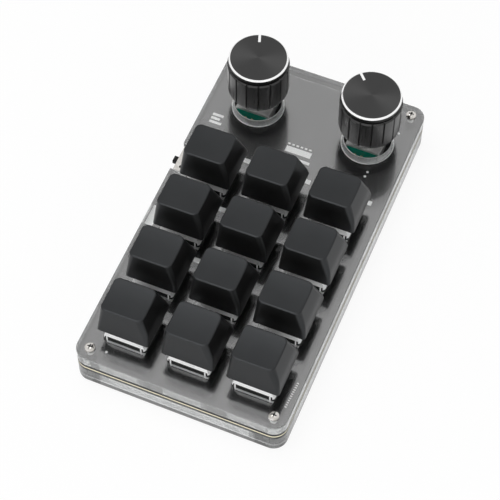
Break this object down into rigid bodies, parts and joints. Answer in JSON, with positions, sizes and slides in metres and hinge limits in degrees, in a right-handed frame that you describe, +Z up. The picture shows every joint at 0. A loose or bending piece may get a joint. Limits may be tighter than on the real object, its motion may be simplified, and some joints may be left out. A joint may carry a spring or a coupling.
{
  "type": "one-handed keyboard",
  "caption": "Small desk keypad of sprung keycaps and push-and-turn dials on a black circuit board, clamped between clear acrylic plates with corner screws.",
  "frame": {"origin": "on the desk, under the middle of the plates", "axes": "+X to the right, +Y along the plates towards the dials, +Z up"},
  "size_m": [0.0774, 0.14, 0.042],
  "materials": {
    "clear_acrylic": "clear cast acrylic, polished faces and laser-cut edges",
    "black_board": "black solder mask over glass-fibre board",
    "bright_steel": "nickel-plated steel",
    "foot_rubber": "soft black rubber",
    "chip_plastic": "moulded black epoxy",
    "switch_black": "moulded black nylon",
    "switch_clear": "milky, translucent moulded polycarbonate",
    "stem_plastic": "moulded red acetal",
    "keycap_black": "satin black moulded plastic",
    "contact_brass": "tinned brass",
    "encoder_green": "green moulded plastic",
    "encoder_metal": "stamped, nickel-plated steel",
    "dial_aluminium": "black anodised aluminium with a bright turned ring and a white pointer"
  },
  "bodies": {
    "base": {"bottom_plate": "clear_acrylic", "middle_frame": "clear_acrylic", "top_plate": "clear_acrylic", "circuit_board": "black_board", "plate_screws": "bright_steel", "base_screws": "bright_steel", "standoffs": "bright_steel", "rubber_feet": "foot_rubber", "usb_socket": "bright_steel", "board_chips": "chip_plastic", "hot_swap_sockets": "chip_plastic", "switch_bases": "switch_black", "switch_covers": "switch_clear", "contact_pins": "contact_brass", "encoder_bases": "encoder_green", "encoder_brackets": "encoder_metal", "layer_switch_case": "encoder_metal", "spring_r1c1": "bright_steel", "spring_r1c2": "bright_steel", "spring_r1c3": "bright_steel", "spring_r2c1": "bright_steel", "spring_r2c2": "bright_steel", "spring_r2c3": "bright_steel", "spring_r3c1": "bright_steel", "spring_r3c2": "bright_steel", "spring_r3c3": "bright_steel", "spring_r4c1": "bright_steel", "spring_r4c2": "bright_steel", "spring_r4c3": "bright_steel"},
    "key_r1c1": {"keycap_r1c1": "keycap_black", "stem_r1c1": "stem_plastic"},
    "key_r1c2": {"keycap_r1c2": "keycap_black", "stem_r1c2": "stem_plastic"},
    "key_r1c3": {"keycap_r1c3": "keycap_black", "stem_r1c3": "stem_plastic"},
    "key_r2c1": {"keycap_r2c1": "keycap_black", "stem_r2c1": "stem_plastic"},
    "key_r2c2": {"keycap_r2c2": "keycap_black", "stem_r2c2": "stem_plastic"},
    "key_r2c3": {"keycap_r2c3": "keycap_black", "stem_r2c3": "stem_plastic"},
    "key_r3c1": {"keycap_r3c1": "keycap_black", "stem_r3c1": "stem_plastic"},
    "key_r3c2": {"keycap_r3c2": "keycap_black", "stem_r3c2": "stem_plastic"},
    "key_r3c3": {"keycap_r3c3": "keycap_black", "stem_r3c3": "stem_plastic"},
    "key_r4c1": {"keycap_r4c1": "keycap_black", "stem_r4c1": "stem_plastic"},
    "key_r4c2": {"keycap_r4c2": "keycap_black", "stem_r4c2": "stem_plastic"},
    "key_r4c3": {"keycap_r4c3": "keycap_black", "stem_r4c3": "stem_plastic"},
    "push_left": {"plunger_left": "switch_black"},
    "dial_left": {"dial_left": "dial_aluminium", "shaft_left": "encoder_metal"},
    "push_right": {"plunger_right": "switch_black"},
    "dial_right": {"dial_right": "dial_aluminium", "shaft_right": "encoder_metal"},
    "layer_lever": {"layer_switch_lever": "switch_black"}
  },
  "joints": [
    {"name": "press_r1c1", "type": "slide", "parent": "base", "child": "key_r1c1", "axis": [0, 0, -1], "range_m": [0, 0.004], "stiffness_N_per_m": 80, "springref_m": -0.004, "deforming": ["spring_r1c1"]},
    {"name": "press_r1c2", "type": "slide", "parent": "base", "child": "key_r1c2", "axis": [0, 0, -1], "range_m": [0, 0.004], "stiffness_N_per_m": 80, "springref_m": -0.004, "deforming": ["spring_r1c2"]},
    {"name": "press_r1c3", "type": "slide", "parent": "base", "child": "key_r1c3", "axis": [0, 0, -1], "range_m": [0, 0.004], "stiffness_N_per_m": 80, "springref_m": -0.004, "deforming": ["spring_r1c3"]},
    {"name": "press_r2c1", "type": "slide", "parent": "base", "child": "key_r2c1", "axis": [0, 0, -1], "range_m": [0, 0.004], "stiffness_N_per_m": 80, "springref_m": -0.004, "deforming": ["spring_r2c1"]},
    {"name": "press_r2c2", "type": "slide", "parent": "base", "child": "key_r2c2", "axis": [0, 0, -1], "range_m": [0, 0.004], "stiffness_N_per_m": 80, "springref_m": -0.004, "deforming": ["spring_r2c2"]},
    {"name": "press_r2c3", "type": "slide", "parent": "base", "child": "key_r2c3", "axis": [0, 0, -1], "range_m": [0, 0.004], "stiffness_N_per_m": 80, "springref_m": -0.004, "deforming": ["spring_r2c3"]},
    {"name": "press_r3c1", "type": "slide", "parent": "base", "child": "key_r3c1", "axis": [0, 0, -1], "range_m": [0, 0.004], "stiffness_N_per_m": 80, "springref_m": -0.004, "deforming": ["spring_r3c1"]},
    {"name": "press_r3c2", "type": "slide", "parent": "base", "child": "key_r3c2", "axis": [0, 0, -1], "range_m": [0, 0.004], "stiffness_N_per_m": 80, "springref_m": -0.004, "deforming": ["spring_r3c2"]},
    {"name": "press_r3c3", "type": "slide", "parent": "base", "child": "key_r3c3", "axis": [0, 0, -1], "range_m": [0, 0.004], "stiffness_N_per_m": 80, "springref_m": -0.004, "deforming": ["spring_r3c3"]},
    {"name": "press_r4c1", "type": "slide", "parent": "base", "child": "key_r4c1", "axis": [0, 0, -1], "range_m": [0, 0.004], "stiffness_N_per_m": 80, "springref_m": -0.004, "deforming": ["spring_r4c1"]},
    {"name": "press_r4c2", "type": "slide", "parent": "base", "child": "key_r4c2", "axis": [0, 0, -1], "range_m": [0, 0.004], "stiffness_N_per_m": 80, "springref_m": -0.004, "deforming": ["spring_r4c2"]},
    {"name": "press_r4c3", "type": "slide", "parent": "base", "child": "key_r4c3", "axis": [0, 0, -1], "range_m": [0, 0.004], "stiffness_N_per_m": 80, "springref_m": -0.004, "deforming": ["spring_r4c3"]},
    {"name": "push_left", "type": "slide", "parent": "base", "child": "push_left", "axis": [0, 0, -1], "range_m": [0, 0.0005], "stiffness_N_per_m": 3000, "springref_m": -0.001},
    {"name": "turn_left", "type": "hinge", "parent": "push_left", "child": "dial_left", "pos_m": [-0.0204, 0.05045, 0.03], "axis": [0, 0, 1], "continuous": true},
    {"name": "push_right", "type": "slide", "parent": "base", "child": "push_right", "axis": [0, 0, -1], "range_m": [0, 0.0005], "stiffness_N_per_m": 3000, "springref_m": -0.001},
    {"name": "turn_right", "type": "hinge", "parent": "push_right", "child": "dial_right", "pos_m": [0.0221, 0.05045, 0.03], "axis": [0, 0, 1], "continuous": true},
    {"name": "slide_layer", "type": "slide", "parent": "base", "child": "layer_lever", "axis": [0, 1, 0], "range_m": [-0.002, 0.002]}
  ]
}
